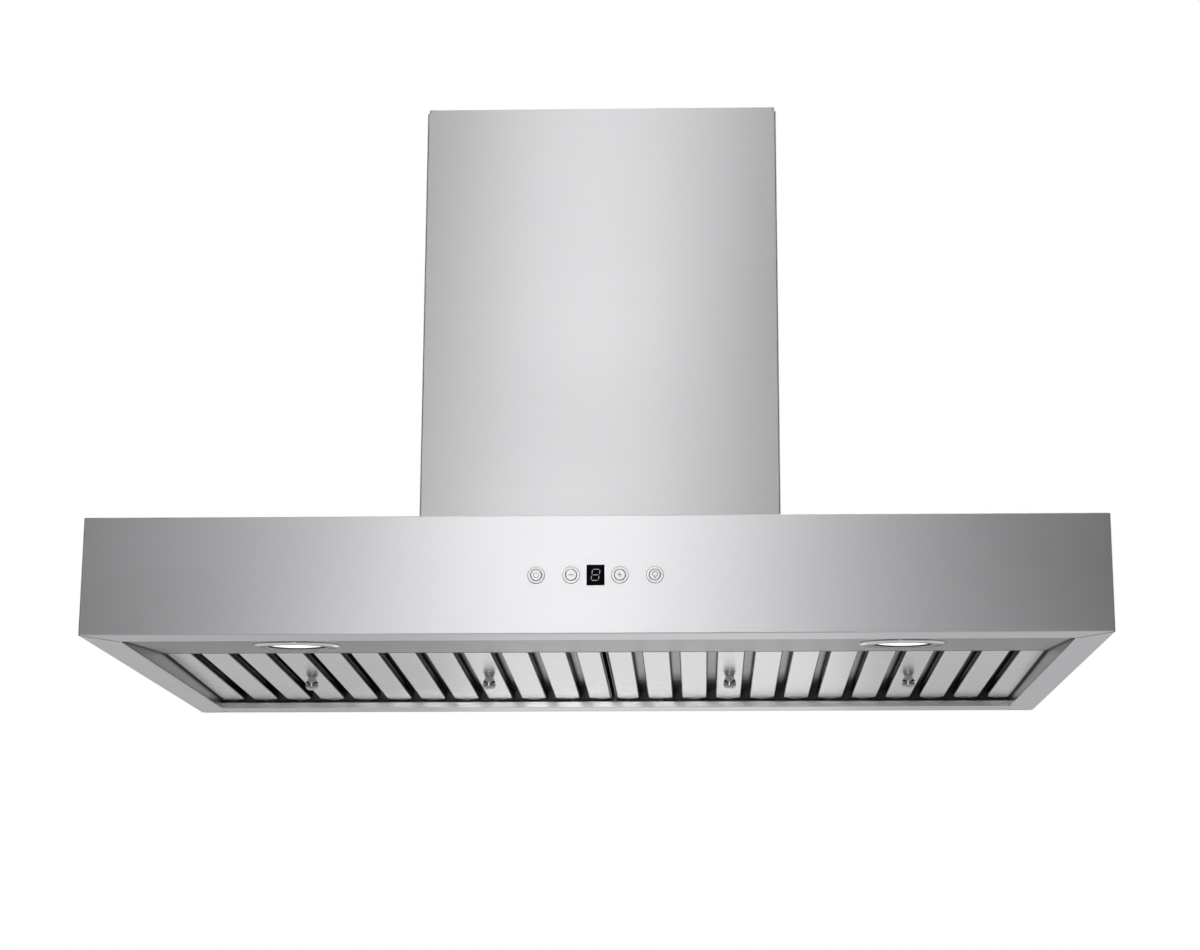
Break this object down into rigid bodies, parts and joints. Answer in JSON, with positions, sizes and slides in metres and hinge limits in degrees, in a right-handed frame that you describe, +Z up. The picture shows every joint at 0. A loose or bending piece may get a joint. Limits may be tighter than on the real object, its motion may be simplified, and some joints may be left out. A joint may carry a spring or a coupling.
{
  "type": "island range hood",
  "caption": "Flat box-canopy range hood with baffle filters, lamps, push buttons and a telescopic square chimney, hung from the ceiling.",
  "frame": {"origin": "middle of the ceiling plate's top face, on the ceiling", "axes": "+X to the right along the width, +Y to the back, away from the controls, +Z up into the ceiling"},
  "size_m": [0.914, 0.5096, 0.5346],
  "materials": {
    "brushed_steel": "fine horizontal brushing, satin",
    "satin_steel": "satin stainless sheet",
    "chrome": "polished",
    "lamp_lens": "frosted, lit from behind",
    "cast_aluminium": "as cast",
    "spring_steel": "bright",
    "black_gloss": "glossy black",
    "digit_grey": "unlit segments",
    "board_green": "circuit board",
    "black_plastic": "moulded",
    "white_plastic": "moulded",
    "wheel_plastic": "moulded",
    "zinc_steel": "galvanised",
    "motor_paint": "satin paint",
    "button_steel": "satin"
  },
  "bodies": {
    "ceiling_frame": {"ceiling_plate": "zinc_steel", "upper_posts": "zinc_steel", "frame_bolts": "zinc_steel", "frame_nuts": "zinc_steel", "upper_chimney": "brushed_steel"},
    "filter_left": {"filter_rails_left": "satin_steel", "lower_baffles_left": "satin_steel", "upper_baffles_left": "satin_steel", "filter_knobs_left": "chrome", "knob_screws_left": "spring_steel"},
    "filter_right": {"filter_rails_right": "satin_steel", "lower_baffles_right": "satin_steel", "upper_baffles_right": "satin_steel", "filter_knobs_right": "chrome", "knob_screws_right": "spring_steel"},
    "grease_channel_body": {"grease_channel": "satin_steel"},
    "button_power_body": {"button_power": "button_steel"},
    "button_minus_body": {"button_minus": "button_steel"},
    "button_plus_body": {"button_plus": "button_steel"},
    "button_light_body": {"button_light": "button_steel"},
    "fan_wheel": {"impeller": "wheel_plastic", "motor_shaft": "spring_steel"},
    "damper_left": {"damper_flap_left": "black_plastic"},
    "damper_right": {"damper_flap_right": "black_plastic"},
    "hood": {"blower_box": "zinc_steel", "blower_box_screws": "zinc_steel", "button_bezels": "chrome", "cable_gland": "black_plastic", "canopy_shell": "brushed_steel", "chimney_base_ring": "zinc_steel", "chimney_screws": "spring_steel", "control_board": "board_green", "control_housing": "black_plastic", "damper_pin": "spring_steel", "display_digit": "digit_grey", "display_window": "black_gloss", "duct_collar": "black_plastic", "filter_catches": "spring_steel", "inlet_rings": "black_plastic", "lamp_body_left": "cast_aluminium", "lamp_body_right": "cast_aluminium", "lamp_glass_left": "lamp_lens", "lamp_glass_right": "lamp_lens", "lamp_ring_left": "chrome", "lamp_ring_right": "chrome", "lamp_springs": "spring_steel", "light_panel": "satin_steel", "lower_chimney_front": "brushed_steel", "lower_chimney_rear": "brushed_steel", "lower_posts": "zinc_steel", "motor_body": "motor_paint", "motor_spider": "zinc_steel", "power_box": "zinc_steel", "power_box_lid": "zinc_steel", "power_supply": "black_plastic", "scroll_housing": "zinc_steel", "side_liner_left": "satin_steel", "side_liner_right": "satin_steel", "tact_switches": "black_plastic", "terminal_blocks": "white_plastic"}
  },
  "joints": [
    {"name": "height_adjust", "type": "slide", "parent": "ceiling_frame", "child": "hood", "axis": [0, 0, -1], "range_m": [0, 0.3]},
    {"name": "filter_left_drop", "type": "hinge", "parent": "hood", "child": "filter_left", "pos_m": [-0.2145, 0.222, -0.526], "axis": [1, 0, 0], "range_deg": [0, 75]},
    {"name": "filter_right_drop", "type": "hinge", "parent": "hood", "child": "filter_right", "pos_m": [0.2145, 0.222, -0.526], "axis": [1, 0, 0], "range_deg": [0, 75]},
    {"name": "grease_channel_release", "type": "slide", "parent": "hood", "child": "grease_channel_body", "axis": [0, 0, -1], "range_m": [0, 0.05]},
    {"name": "fan_spin", "type": "hinge", "parent": "hood", "child": "fan_wheel", "pos_m": [0, 0, -0.317], "axis": [1, 0, 0], "continuous": true},
    {"name": "damper_left_lift", "type": "hinge", "parent": "hood", "child": "damper_left", "pos_m": [0, 0, -0.157], "axis": [0, 1, 0], "range_deg": [0, 70]},
    {"name": "damper_right_lift", "type": "hinge", "parent": "hood", "child": "damper_right", "pos_m": [0, 0, -0.157], "axis": [0, -1, 0], "range_deg": [0, 70]},
    {"name": "press_power", "type": "slide", "parent": "hood", "child": "button_power_body", "axis": [0, 1, 0], "range_m": [0, 0.0011], "stiffness_N_per_m": 900, "springref_m": -0.0012},
    {"name": "press_minus", "type": "slide", "parent": "hood", "child": "button_minus_body", "axis": [0, 1, 0], "range_m": [0, 0.0011], "stiffness_N_per_m": 900, "springref_m": -0.0012},
    {"name": "press_plus", "type": "slide", "parent": "hood", "child": "button_plus_body", "axis": [0, 1, 0], "range_m": [0, 0.0011], "stiffness_N_per_m": 900, "springref_m": -0.0012},
    {"name": "press_light", "type": "slide", "parent": "hood", "child": "button_light_body", "axis": [0, 1, 0], "range_m": [0, 0.0011], "stiffness_N_per_m": 900, "springref_m": -0.0012}
  ]
}
